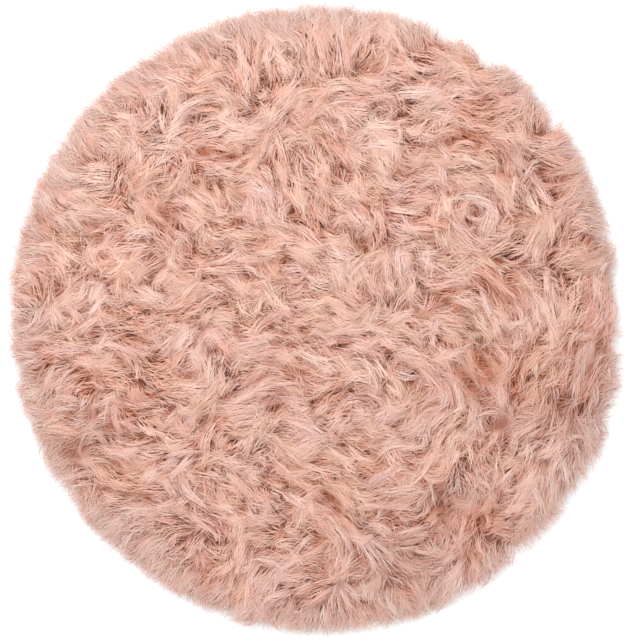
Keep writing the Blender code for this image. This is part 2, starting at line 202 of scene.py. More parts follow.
marks = [markRow(*row) for row in (
    (216, 118, -50, 70, 75, 7, 0.15), (186, 146, 172, 65, 43, 5, 0.12), (112, 172, 178, 38, 0, 6, 0.12),
    (112, 182, 184, 36, -4, 5, 0.14), (196, 76, 168, 62, 3, 6, 0.08), (205, 68, 130, 40, 0, 5, -0.05),
    (140, 200, -42, 62, 5, 7, -0.12), (192, 188, -38, 55, 0, 6, 0.08), (165, 135, 98, 35, 4, 4, 0.10),
    (172, 132, 75, 50, -60, 4, 0.10), (175, 116, 60, 50, -85, 5, 0.10), (104, 250, 5, 60, -5, 5, 0.08),
    (85, 262, 150, 45, 0, 5, 0.05), (126, 288, 60, 90, -62, 6, -0.02), (205, 272, 3, 75, -3, 5, 0.00),
    (230, 262, 4, 60, -4, 5, 0.03), (142, 288, -25, 42, -10, 5, 0.18), (203, 282, -40, 38, 25, 5, 0.08),
    (285, 285, 190, 40, 70, 4, 0.15), (276, 135, -62, 50, 0, 6, 0.02), (295, 225, -40, 50, 0, 5, 0.00),
    (402, 62, -45, 45, 55, 4, 0.05), (322, 112, 45, 60, -75, 5, 0.05), (335, 108, -20, 50, -35, 5, 0.04),
    (365, 128, -10, 45, 0, 8, 0.18), (402, 148, 176, 50, 3, 7, 0.15), (400, 95, 5, 60, -4, 8, 0.15),
    (445, 92, -3, 50, 4, 6, 0.12), (442, 152, 50, 42, -95, 4, -0.05), (455, 160, -10, 45, 0, 6, 0.08),
    (458, 196, 15, 55, -80, 5, 0.30), (470, 200, 0, 45, -75, 4, 0.30), (456, 220, -85, 60, 110, 5, 0.05),
    (452, 232, -70, 65, 95, 5, 0.00), (480, 262, 55, 55, -60, 4, 0.12), (535, 185, -60, 40, 0, 5, 0.05),
    (575, 212, 35, 70, -110, 5, 0.02), (578, 230, 50, 45, -120, 4, 0.00), (385, 212, -5, 50, 3, 5, 0.03),
    (400, 228, -8, 55, 0, 5, -0.05), (400, 245, -95, 40, 5, 8, 0.12), (425, 250, -80, 40, 0, 6, 0.08),
    (425, 288, 0, 40, 0, 5, -0.15), (490, 280, -35, 50, -10, 5, -0.10), (545, 270, -95, 50, 5, 4, 0.20),
    (548, 300, -80, 45, 0, 4, 0.20), (322, 236, -32, 50, 0, 6, -0.03), (325, 250, -25, 40, 0, 4, 0.12),
    (385, 255, -88, 35, 0, 5, 0.03), (322, 120, -60, 35, 0, 5, 0.05), (345, 75, 95, 60, 0, 7, 0.03),
    (325, 70, 98, 60, 0, 6, 0.02), (350, 60, 65, 50, -15, 5, 0.02), (380, 55, 75, 40, 0, 5, 0.04),
    (410, 45, 115, 40, 0, 4, 0.20), (430, 50, -25, 45, 5, 4, 0.03), (100, 342, -8, 65, -20, 5, 0.10),
    (50, 352, 15, 60, -20, 5, 0.05), (162, 352, 50, 38, -5, 5, 0.02), (272, 340, 178, 50, 14, 7, 0.12),
    (268, 348, 190, 48, -15, 5, 0.28), (204, 352, -75, 38, 0, 4, 0.28), (212, 355, -92, 34, 0, 4, 0.22),
    (210, 388, 180, 45, 0, 7, 0.05), (240, 398, 35, 55, -55, 5, 0.00), (220, 410, 5, 60, -4, 7, 0.03),
    (268, 412, 215, 40, 50, 3, 0.32), (170, 455, 25, 48, -25, 5, 0.12), (172, 475, 48, 45, -10, 5, 0.20),
    (203, 455, 95, 55, -60, 5, 0.15), (98, 472, 155, 60, 100, 5, 0.08), (95, 485, 150, 40, 90, 4, 0.04),
    (165, 488, 178, 60, 0, 6, -0.02), (160, 508, 178, 60, 4, 8, 0.08), (180, 480, -70, 65, 75, 6, 0.10),
    (165, 478, -60, 30, 0, 4, 0.05), (235, 478, -20, 45, -75, 5, -0.08), (205, 500, -5, 50, -40, 5, 0.05),
    (190, 510, -20, 60, -60, 5, 0.05), (262, 590, 75, 85, -80, 6, 0.12), (275, 580, 70, 60, -85, 5, 0.05),
    (285, 472, -25, 75, -15, 6, -0.12), (300, 462, -15, 60, -5, 5, 0.10), (290, 420, -20, 60, 0, 6, 0.08),
    (245, 610, 95, 60, -40, 4, 0.05), (335, 585, 200, 60, 35, 6, -0.05), (338, 580, 250, 45, 8, 4, 0.03),
    (338, 581, 270, 50, 0, 4, 0.05), (339, 581, 292, 52, 6, 4, 0.05), (340, 580, 318, 50, 4, 4, 0.04),
    (338, 576, 24, 45, 8, 4, 0.05), (337, 575, 52, 46, 8, 4, 0.04), (335, 574, 80, 42, 6, 4, 0.02),
    (364, 538, -50, 62, 5, 4, 0.05), (362, 540, -66, 52, 4, 4, 0.05), (366, 534, -36, 60, 4, 4, 0.02),
    (368, 522, -10, 40, -40, 4, 0.15), (395, 535, 25, 45, -15, 5, 0.02),
    (470, 530, 215, 40, -10, 5, 0.08), (440, 600, 55, 50, 0, 5, 0.02), (548, 465, -85, 50, 5, 6, 0.15),
    (560, 455, -75, 50, 0, 5, 0.12), (530, 480, -70, 50, 0, 5, 0.10), (500, 512, 18, 45, 4, 5, 0.05),
    (470, 418, 60, 50, -110, 4, 0.08), (432, 450, 65, 45, 0, 4, 0.12), (545, 315, -72, 42, 0, 3, 0.32),
    (375, 358, -60, 35, 0, 3, 0.25), (358, 322, -20, 60, -4, 4, 0.20), (462, 352, -68, 50, 0, 5, -0.02),
    (415, 365, -45, 40, 0, 4, 0.05), (330, 330, -3, 70, 0, 8, 0.15), (495, 445, -92, 40, 0, 3, 0.15),
    (590, 372, 80, 30, -60, 1.5, 0.30), (553, 415, 42, 18, 0, 1.5, 0.30),
    (360, 505, 10, 50, -15, 4, -0.10), (428, 480, -75, 40, 0, 2, 0.30),
)]


# fields over the rug, read by place: lay of the pile, height of the pile, tone

fields = {
    "cell": 0.0025,
    "margin": 0.05,                  # from the outline out to the edge of the fields
    "combReach": 0.022,              # how far one stroke of the chart holds
    "combCore": 0.3,                 # how evenly the middle of a stroke holds its lay
    "combFree": 2.5,                 # how soon away from a stroke the lay may stray
    "swirlStrength": 5.0,
    "swirlFlow": 5.0,                # how surely tips follow a swirl's way
    "outwardFrom": 0.48,             # share of the radius from which tips start to point outwards
    "outwardRun": 0.42,
    "outwardFlow": 3.0,
    "radialFrom": 0.89,              # share of the radius from which the pile turns radial
    "radialStrength": 1.3,
    "flow": (0.7, 0.1),              # way that most tips point in the middle of the rug
    "wander": 0.35,                  # radians that the lay strays between the strokes
    "wanderNoise": (5, 0.045),       # seed of a noise and size of its lumps, here and below
    "tangleNoise": (52, 0.06),
    "hueNoise": (31, 0.07),
    "hueSpread": 0.6,
    "warmNoise": (83, 0.05),
    "warmSpread": 0.5,
    "solidStep": 2,                  # cells between the heights that are read off the solid
    "solidSoften": 6,
    "rimRise": 0.026,                # height of the pile where it turns over at the rim
    "rimRun": 0.050,                 # from there out to where the tips touch the floor
    "rimPast": 0.012,                # how far the turned pile reaches past the outline
    "rimBlend": 0.2,                 # share of its run over which the solid's height may count
    "crownSoften": 3,
    "leastHeight": 0.003,
    "hollowDepth": 0.010,
    "hollowTone": 0.20,              # painted shade: how much deeper the fur is painted in a hollow
    # patch tone: partly the fur's own tone, partly painted light and shade
    "patchTone": 0.22,
    "patchShade": 0.0032,            # painted shade: how much further down a deeper patch's strands count as lying
    "patchAsh": 1.8,
    "toneHue": 1.5,                  # how much greyer the deeper patches, partly painted shade, are
    "rimTone": 0.17,                 # painted shade: how much deeper the fur is painted at the rim, where light comes in under it
    "rimToneBand": (0.86, 0.12),     # share of the radius where that starts, and its run
    "rimLit": 0.004,                 # how much nearer the top the tips past the rim count as lying, so that less painted shade falls on them
    "rimLitBand": (0.94, 0.05),
    "rimAsh": 1.2,                   # how much less saturated the rim is
    "rimAshBand": (0.87, 0.11),
    "tipAsh": 1.8,                   # the same for the last tips past the rim
    "tipAshBand": (0.955, 0.03),
}

noise = {
    "waves": 14,
    "stretch": (1.4, 2.8),           # length of its waves, as a share of the lumps
    "bend": (0.5, 1.2),
    "bendRate": 0.6,
    "evenOut": 3.2,                  # brings the sum of the waves to about -1 to 1
}

fieldEdge = outline["radius"] + fields["margin"]
axis = np.arange(-fieldEdge, fieldEdge + fields["cell"], fields["cell"])
gridX, gridY = np.meshgrid(axis, axis)
gridPlace = gridX + 1j * gridY


# Value of a field at many places, between its four nearest cells.
def readField(field, place):
    last = len(axis) - 1.001  # just inside the last cell
    u = np.clip((place.real + fieldEdge) / fields["cell"], 0, last)
    v = np.clip((place.imag + fieldEdge) / fields["cell"], 0, last)
    i, j = u.astype(int), v.astype(int)
    fu, fv = u - i, v - j
    low = field[j, i] * (1 - fu) + field[j, i + 1] * fu
    high = field[j + 1, i] * (1 - fu) + field[j + 1, i + 1] * fu
    return low * (1 - fv) + high * fv


def smoothStep(value):
    value = np.clip(value, 0.0, 1.0)
    return value * value * (3.0 - 2.0 * value)


# From 0 where a band starts to 1 at the end of its run.
def rising(value, band):
    start, run = band
    return smoothStep((value - start) / run)


def unit(value):
    return value / (np.abs(value) + 1e-9)


# Smooth noise over the grid, about -1 to 1, with lumps of the given size in metres.
def softNoise(seed, size):
    chance = np.random.default_rng(seed)
    total = np.zeros_like(gridX)
    for turn in range(noise["waves"]):
        heading = np.exp(1j * chance.uniform(0, 2 * math.pi))
        wave = 2 * math.pi / (size * chance.uniform(*noise["stretch"]))
        phase = chance.uniform(0, 2 * math.pi)
        local = gridPlace * heading
        bend = chance.uniform(*noise["bend"])
        bend = bend * np.sin(wave * noise["bendRate"] * local.imag + 2 * phase)
        total += np.sin(wave * local.real + bend + phase)
    return total / noise["evenOut"]


# A swirl's own way round at each place, and how strongly it holds there.
def swirlPull(swirl):
    centre = pointOf(swirl)
    size = swirl.reach * photo["metresPerPixel"]
    away = gridPlace - centre
    return unit(away) * np.exp(1j * math.radians(swirl.turn)), np.exp(-(np.abs(away) / size) ** 2)


outwardOf = unit(gridPlace)
shareOf = np.abs(gridPlace) / outlineRadius(np.angle(gridPlace))


# Lay of the locks as an axis: its angle is doubled, so that both ways along it are one.
def layField():
    double = np.zeros(gridX.shape, complex)
    free = np.ones(gridX.shape)
    for comb in combs:
        centre = pointOf(comb)
        apart = (np.abs(gridPlace - centre) / fields["combReach"]) ** 2
        double += np.exp(2j * math.radians(comb.lay)) / (fields["combCore"] + apart) ** 2
        free = np.minimum(free, 1 - np.exp(-fields["combFree"] * apart))
    wander = softNoise(*fields["wanderNoise"])
    double = unit(double) * np.exp(2j * fields["wander"] * free * wander)
    for swirl in swirls:
        way, hold = swirlPull(swirl)
        double += fields["swirlStrength"] * hold * way ** 2
    rim = smoothStep((shareOf - fields["radialFrom"]) / (1 - fields["radialFrom"]))
    return unit(unit(double) + fields["radialStrength"] * rim * outwardOf ** 2)


# Which of the two ways along the lay the tips would rather point; longer is surer.
def flowField():
    rim = smoothStep((shareOf - fields["outwardFrom"]) / fields["outwardRun"])
    flow = complex(*fields["flow"]) * (1 - rim) + fields["outwardFlow"] * outwardOf * rim
    for swirl in swirls:
        way, hold = swirlPull(swirl)
        flow = flow + fields["swirlFlow"] * hold * way
    return flow


def soften(field, times):
    for turn in range(times):
        for side in (0, 1):
            field = (np.roll(field, 1, side) + 2 * field + np.roll(field, -1, side)) / 4
    return field


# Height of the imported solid's top over each place, softened.
def solidHeights():
    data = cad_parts["pile"].data
    tree = BVHTree.FromPolygons([v.co for v in data.vertices], [p.vertices for p in data.polygons])
    heights = np.zeros(gridX.shape)
    above = 1.0
    step = fields["solidStep"]
    for j in range(0, len(axis), step):
        for i in range(0, len(axis), step):
            hit = tree.ray_cast(Vector((axis[i], axis[j], above)), Vector((0, 0, -1)))[0]
            heights[j:j + step, i:i + step] = hit.z if hit else 0.0
    return soften(heights, fields["solidSoften"])


# How far each place lies in a hollow, 0 to 1, and the way out of it.
def hollowField():
    depth = np.zeros(gridX.shape)
    push = np.zeros(gridX.shape, complex)
    for hollow in hollows:
        centre = pointOf(hollow)
        turn = np.exp(-1j * math.radians(hollow.lay))
        local = (gridPlace - centre) * turn / photo["metresPerPixel"]
        here = np.exp(-((local.real / hollow.length) ** 2 + (local.imag / hollow.width) ** 2))
        depth = np.maximum(depth, here)
        side = np.sign(local.imag + 1e-9) * hollow.width * photo["metresPerPixel"]
        push += 1j * side * here * np.exp(-np.abs(local.imag) / hollow.width) / turn
    return depth, push


# Patches of tone, partly painted light and shade, and of ash.
def patchFields():
    tone = np.zeros(gridX.shape)
    ash = np.zeros(gridX.shape)
    for patch in patches:
        centre = pointOf(patch)
        size = patch.reach * photo["metresPerPixel"]
        here = np.exp(-(np.abs(gridPlace - centre) / size) ** 2)
        tone += patch.tone * here
        ash += patch.ash * here
    return tone, ash


def crownField():
    edge = outlineRadius(np.angle(gridPlace)) - fields["rimRun"]
    beyond = (np.abs(gridPlace) - edge) / (fields["rimRun"] + fields["rimPast"])
    rim = fields["rimRise"] * np.sqrt(np.clip(1 - np.clip(beyond, 0, 1) ** 2, 0, 1))
    height = np.where(beyond > fields["rimBlend"], rim, np.maximum(solidHeights(), rim))
    return soften(height, fields["crownSoften"])


layOf = layField()
flowOf = flowField()
hollowOf, pushOf = hollowField()
crownOf = crownField()
heightOf = np.maximum(crownOf - fields["hollowDepth"] * hollowOf, fields["leastHeight"])
toneAndPaintedLightOf, ashOf = patchFields()
tangleOf = softNoise(*fields["tangleNoise"])
hueOf = fields["hueSpread"] * softNoise(*fields["hueNoise"])
hueOf = hueOf - fields["patchAsh"] * ashOf + fields["toneHue"] * toneAndPaintedLightOf
hueOf -= fields["rimAsh"] * rising(shareOf, fields["rimAshBand"])
hueOf -= fields["tipAsh"] * rising(shareOf, fields["tipAshBand"])
warmOf = fields["warmSpread"] * softNoise(*fields["warmNoise"])
print("lay, heights and tones charted")


# the pile: locks of wisps of strands, drawn as tapered ribbons

layerKind = namedtuple("layerKind", (
    "locks wisps strands reach width tip gather level rise scatter bend curl stations broad tone "
    "band clumped fray"), defaults=(1.0, 0.0, 1.0))

# a layer's tone: the lower layers are painted deeper, as painted shade, and the strays on top paler, as
# painted highlight
layers = {                           # sizes in metres, angles in radians
    "under": layerKind(
        locks=0.0165, wisps=4, strands=9, reach=(0.040, 0.058), width=0.0120, tip=0.0070,
        gather=(0.1, 0.5), level=(0.83, 0.93), rise=0.45, scatter=0.30, bend=0.40, curl=0.50,
        stations=(0.0, 0.50, 0.80, 1.0), broad=(0.0012, 0.0019), tone=0.46,
    ),
    "rim": layerKind(
        band=0.045, locks=0.0100, wisps=3, strands=12, reach=(0.030, 0.062), width=0.0110, tip=0.0130,
        gather=(0.0, 0.4), level=(0.55, 1.00), rise=0.60, scatter=0.55, bend=0.60, curl=0.70,
        stations=(0.0, 0.40, 0.75, 1.0), broad=(0.0004, 0.0008), tone=0.60,
    ),
    "over": layerKind(
        locks=0.0200, wisps=4, strands=15, reach=(0.050, 0.080), width=0.0085, tip=0.0060,
        gather=(0.1, 0.7), level=(0.88, 0.96), rise=0.20, scatter=0.45, bend=0.70, curl=1.30,
        clumped=0.3, stations=(0.0, 0.40, 0.66, 0.86, 1.0), broad=(0.0007, 0.0011), tone=0.50,
    ),
    "crest": layerKind(
        locks=0.0240, wisps=5, strands=28, reach=(0.050, 0.100), width=0.0088, tip=0.0068,
        gather=(0.1, 0.7), level=(0.935, 1.045), rise=0.13, scatter=0.52, bend=0.65, curl=1.40,
        clumped=1.0, stations=(0.0, 0.34, 0.56, 0.74, 0.88, 1.0), broad=(0.0006, 0.0010), tone=0.57,
    ),
    "stray": layerKind(
        locks=0.0115, wisps=1, strands=2, reach=(0.030, 0.070), width=0.0060, tip=0.0060,
        gather=(0.3, 0.9), level=(0.98, 1.06), rise=0.25, scatter=0.80, bend=1.10, curl=1.80,
        clumped=0.3, stations=(0.0, 0.36, 0.62, 0.84, 1.0), broad=(0.0004, 0.0006), tone=0.85,
    ),
    "marked": layerKind(
        locks=0.0200, wisps=5, strands=32, reach=None, width=0.0088, tip=0.0095,
        gather=(0.1, 0.5), level=(1.00, 1.05), rise=0.12, scatter=None, bend=None, curl=None,
        fray=0.8, stations=(0.0, 0.34, 0.56, 0.74, 0.88, 1.0), broad=(0.0006, 0.0010), tone=0.57,
    ),
}

fur = {
    "steps": 12,                     # along a lock's path
    "rowHeight": 0.866,              # of the net that the roots stand on, as a share of its spacing
    "rootStray": 0.45,               # how far a root strays from it
    "rootHeight": 0.002,
    "sureness": 1.1,                 # how surely tips point the way that the flow does
    "follow": 0.4,                   # how quickly a lock turns into the lay
    "swayShare": 0.7,                # how much locks sway for their bend
    "swayTurn": 3.1,
    "swayRate": 2.2,
    "curlTurn": 3.0,
    "dome": 0.16,                    # how much lower a lock's sides lie than its ridge
    "droop": 0.07,                   # how far the last of a tip bends down again
    "tilt": 0.45,                    # radians that its outermost ribbons turn to its sides
    "roll": 0.10,                    # radians that ribbons are turned at random
    "sideMost": 1.3,                 # where the sides end, in half widths of a lock
    "rimHold": 0.075,                # band at the rim in which tips are held to the outline
    "tipFade": (-0.002, 0.0110),     # where tips end beyond the outline: mean and spread
    "tipMost": 0.012,
    "tangle": 0.10,                  # how far single strands turn off their lock
    "tangleSpread": 0.5,             # how much that changes over the rug
    "rimCalm": 0.4,                  # how much straighter the locks are at the rim
    "rimCalmBand": (0.74, 0.14),     # share of the radius where that starts, and its run
    "rimLoose": 0.6,                 # how much less the locks gather at the rim
    "rimLooseBand": (0.82, 0.12),
    "hooks": 0.18,                   # share of locks that hook round at the tip
    "hookTurn": (1.2, 2.4),
    "wild": 0.10,                    # share of locks that lie well across the others
    "wildTurn": 3.0,
    "depthTone": 0.7,                # painted shade: how much deeper the lower strands are painted
    "litFrom": -0.001,               # depth below the top strands at which the root colour, a painted shade, starts
    "litDepth": 0.0125,              # and from there down to where it has taken over
    "litSoften": 14,
    "litPlaces": (0.3, 1.0, 15),     # along a strand, where its height is taken
    "litLimits": (0.01, 0.99),
    "litFall": 0.01,                 # painted shade: how much deeper a strand's root counts as lying than its tip
    "sideTone": 0.10,                # painted shade: how much deeper a lock's sides are painted
    "edgeTone": 0.008,               # how much paler a ribbon's one edge is than its middle
    "toneFloor": 0.2,                # below it tones are eased
    "toneLimits": (0.02, 0.98),
    "profileAt": (0.0, 0.4, 0.8, 1.0),
    "profile": (0.6, 1.0, 0.8, 0.0),  # breadth of a ribbon at those shares of its length
    "lowest": 0.0008,                # middle of a ribbon above the floor, at least
    "lowestEdge": 0.0004,
    "proud": 0.004,                  # how far strands may stand above the solid
    "markBehind": 0.2,               # how far behind its mark a marked lock starts, for its length
    "markTone": 0.55,                # how much of a marked lock's tone, partly a painted highlight, is taken
    "markCool": 0.45,                # how much less yellow the marked locks are than the rest
    "seed": 11,
}

clumps = {                           # a few neighbouring locks that lie alike
    "spacing": 0.036,
    "jitter": 0.005,
    "turn": 0.40,
    "bend": 0.50,
    "level": 0.010,
    "tone": 0.015,
    "hue": 0.30,
    "warm": 0.22,
    "shingle": 0.05,                 # how much higher its foremost locks lie than its rearmost
    # painted shade: its higher, foremost locks are painted paler than its rearmost
    "shingleTone": 0.03,
    "shingleMost": 0.6,              # of the spacing, how far from its middle that goes on
    "seed": 77,
}

lockSpread = {                       # how far the locks differ
    "tone": 0.08,
    "hue": 0.20,
    "warm": 0.25,
    "breadth": 0.38,
    "breadthLimits": (0.45, 2.2),
}

wispSpread = {                       # how far a lock's wisps differ
    "seat": 0.25,
    "tipKeep": 0.5,                  # how much of its place across the lock a wisp's tip keeps
    "tipSeat": 0.8,
    "turn": 0.20,
    "hook": 0.28,
    "tone": 0.12,
    "level": (0.978, 1.018),
    "length": (0.72, 1.0),
}

strandSpread = {                     # how far a wisp's strands differ
    "length": (0.78, 1.0),
    "gatherRun": 1.05,               # how soon along it a strand has gathered in
    "rootSide": 0.35,
    "tipSide": 0.60,
    "tipSpan": 1.2,                  # breadth of a gathered tip, for its layer's tip size
    "hook": 1.2,
    "start": 0.5,                    # of the spacing of its layer's locks
    "crimp": 0.0010,
    "crimpRate": 2.4,
    "crimpPhase": 6.3,
    "level": (0.99, 1.006),
    "tone": 0.040,
    # painted highlights: a share of strands painted paler, as glints on single fibres
    "paleShare": 0.12,
    "paleTone": 0.17,
    "hue": 0.15,
    "warm": 0.25,
}


# Even but loose places in a band inside the rooting line, as complex numbers.
def discPlaces(spacing, band, chance):
    count = int(2 * fieldEdge / spacing) + 1
    across, up = np.meshgrid(np.arange(count), np.arange(int(count / fur["rowHeight"]) + 1))
    net = (across + 0.5 * (up % 2)) + 1j * fur["rowHeight"] * up
    places = (net * spacing - fieldEdge * (1 + 1j)).ravel()
    most, total = fur["rootStray"], len(places)
    stray = chance.uniform(-most, most, total) + 1j * chance.uniform(-most, most, total)
    places = places + spacing * stray
    edge = outlineRadius(np.angle(places)) - outline["rootInset"]
    return places[(np.abs(places) < edge) & (np.abs(places) > edge - band)]


# The lay at each place, taken the way that goes with along.
def axisAt(place, along):
    lay = np.exp(0.5j * np.angle(readField(layOf, place)))
    return lay * np.where((lay * along.conj()).real < 0, -1, 1)


# The lay at each place, taken the way that its tips are likely to point.
def likelyWay(place, chance):
    flow = readField(flowOf, place)
    way = axisAt(place, flow)
    sure = 0.5 + 0.5 * np.tanh(fur["sureness"] * (way * flow.conj()).real)
    return way * np.where(chance.random(len(place)) < sure, 1, -1)


def growClumps():
    chance = np.random.default_rng(clumps["seed"])
    place = discPlaces(clumps["spacing"], 1.0, chance)
    count = len(place)
    return {
        "place": place,
        "way": likelyWay(place, chance),
        "turn": chance.normal(0, clumps["turn"], count),
        "bend": chance.normal(0, clumps["bend"], count),
        "level": chance.uniform(-1, 1, count) * clumps["level"],
        "tone": chance.normal(0, clumps["tone"], count),
        "hue": chance.normal(0, clumps["hue"], count),
        "warm": chance.normal(0, clumps["warm"], count),
    }


clumpOf = growClumps()


def nearestClump(roots, chance):
    count = len(roots)
    loose = roots + clumps["jitter"] * (chance.normal(0, 1, count) + 1j * chance.normal(0, 1, count))
    return np.argmin(np.abs(loose[:, None] - clumpOf["place"][None, :]), axis=1)


# Paths over the floor plan, one for each lock, root to tip.
def combPaths(roots, mine, layer, reach, chance):
    count = len(roots)
    own = likelyWay(roots, chance)
    along = np.where(chance.random(count) < layer.clumped, clumpOf["way"][mine], own)
    way = axisAt(roots, along)
    stray = chance.normal(0, layer.scatter, count)
    stray = stray * np.where(chance.random(count) < fur["wild"], fur["wildTurn"], 1.0)
    stray = stray + layer.clumped * clumpOf["turn"][mine]
    bend = chance.normal(0, layer.bend, count) + layer.clumped * clumpOf["bend"][mine]
    sway = chance.normal(0, fur["swayShare"] * layer.bend, count)
    curl = chance.normal(0, layer.curl, count)
    calm = 1 - fur["rimCalm"] * rising(readField(shareOf, roots), fur["rimCalmBand"])
    hook = chance.uniform(*fur["hookTurn"], count) * np.where(chance.random(count) < 0.5, -1, 1)
    curl = np.where(chance.random(count) < fur["hooks"], hook, curl) * calm
    stray, bend, sway = stray * calm, bend * calm, sway * calm
    here, heading = roots, way * np.exp(1j * stray)
    paths = [here]
    for step in range(fur["steps"]):
        share = (step + 0.5) / fur["steps"]
        wanted = axisAt(here, heading) * np.exp(1j * stray * (1 - share))
        heading = unit((1 - fur["follow"]) * heading + fur["follow"] * wanted)
        turn = bend + sway * fur["swayTurn"] * math.cos(fur["swayRate"] * math.pi * share)
        turn = turn + curl * fur["curlTurn"] * share ** 2
        heading = heading * np.exp(1j * turn / fur["steps"])
        here = here + heading * reach / fur["steps"]
        paths.append(here)
    return np.stack(paths, 1)


# Paths of the marked locks, which start a little behind where they come into sight.
def markedPaths(roots, reach):
    heading = np.exp(1j * np.radians([mark.way for mark in marks]))
    turn = np.exp(1j * np.radians([mark.bend for mark in marks]) / fur["steps"])
    here = roots - fur["markBehind"] * reach * heading
    paths = [here]
    for step in range(fur["steps"]):
        here = here + (1 + fur["markBehind"]) * heading * reach / fur["steps"]
        heading = heading * turn
        paths.append(here)
    return np.stack(paths, 1)


# Places on paths at shares of their length, at having one row per path.
def pointsOn(paths, at):
    along = np.clip(at, 0, 1) * (paths.shape[1] - 1)
    first = np.minimum(along.astype(int), paths.shape[1] - 2)
    part = along - first
    rows = np.arange(len(paths))[:, None]
    return paths[rows, first] * (1 - part) + paths[rows, first + 1] * part


# One layer's locks: roots, paths and what sets each apart.
def growLocks(layer, chance, marked):
    if marked:
        roots = np.array([pointOf(mark) for mark in marks])
        reach = np.array([mark.length for mark in marks]) * photo["metresPerPixel"]
    else:
        roots = discPlaces(layer.locks, layer.band, chance)
        reach = chance.uniform(*layer.reach, len(roots))
    count = len(roots)
    mine = nearestClump(roots, chance)
    paths = markedPaths(roots, reach) if marked else combPaths(roots, mine, layer, reach, chance)
    tone = chance.normal(0, lockSpread["tone"], count) + clumpOf["tone"][mine]
    level = chance.uniform(*layer.level, count) + clumpOf["level"][mine]
    hue = chance.normal(0, lockSpread["hue"], count) + clumpOf["hue"][mine]
    warm = chance.normal(0, lockSpread["warm"], count) + clumpOf["warm"][mine]
    front = ((roots - clumpOf["place"][mine]) * clumpOf["way"][mine].conj()).real / clumps["spacing"]
    front = layer.clumped * np.clip(front, -clumps["shingleMost"], clumps["shingleMost"])
    breadth = np.exp(chance.normal(0, lockSpread["breadth"], count))
    locks = {
        "roots": roots, "reach": reach, "paths": paths, "ways": unit(np.gradient(paths, axis=1)),
        # painted shade: a clump's higher, foremost locks are painted paler, its rearmost deeper
        "tone": tone + clumps["shingleTone"] * front,
        "level": level + clumps["shingle"] * front,
        "hue": hue,
        "warm": warm,
        "breadth": np.clip(breadth, *lockSpread["breadthLimits"]),
    }
    if marked:
        locks["tone"] = fur["markTone"] * np.array([mark.tone for mark in marks])
        locks["warm"] = warm - fur["markCool"]
        breadth = np.array([mark.breadth for mark in marks]) * photo["metresPerPixel"]
        locks["breadth"] = breadth / layer.width
    return locks


# The wisps that the locks part into, a layer's own number to each.
def growWisps(layer, count, chance):
    wisps = count * layer.wisps
    seat = np.tile((np.arange(layer.wisps) + 0.5) / layer.wisps * 2 - 1, count)
    seat = seat + chance.normal(0, wispSpread["seat"], wisps)
    return {
        "seat": seat,
        "tipSeat": wispSpread["tipKeep"] * seat + chance.normal(0, wispSpread["tipSeat"], wisps),
        "turn": layer.fray * chance.normal(0, wispSpread["turn"], wisps),
        "hook": layer.fray * chance.normal(0, wispSpread["hook"], wisps),
        "tone": chance.normal(0, wispSpread["tone"], wisps),
        "level": chance.uniform(*wispSpread["level"], wisps),
        "length": chance.uniform(*wispSpread["length"], wisps),
    }


# Tips that would run past the outline are drawn in, so that they thin out there.
def heldIn(centre, chance):
    radius = np.abs(centre)
    past = np.minimum(chance.normal(*fur["tipFade"], len(centre)), fur["tipMost"])
    limit = outlineRadius(np.angle(centre[:, -1])) + past
    hold = outline["radius"] - fur["rimHold"]
    shrink = np.clip((limit - hold) / np.maximum(radius[:, -1] - hold, 1e-6), 0, 1)[:, None]
    held = np.where(radius > hold, hold + (radius - hold) * shrink, radius)
    return centre * held / np.maximum(radius, 1e-6)


def easedTone(tone):
    floor = fur["toneFloor"]
    return np.clip(np.where(tone < floor, floor * np.exp(tone / floor - 1), tone), *fur["toneLimits"])


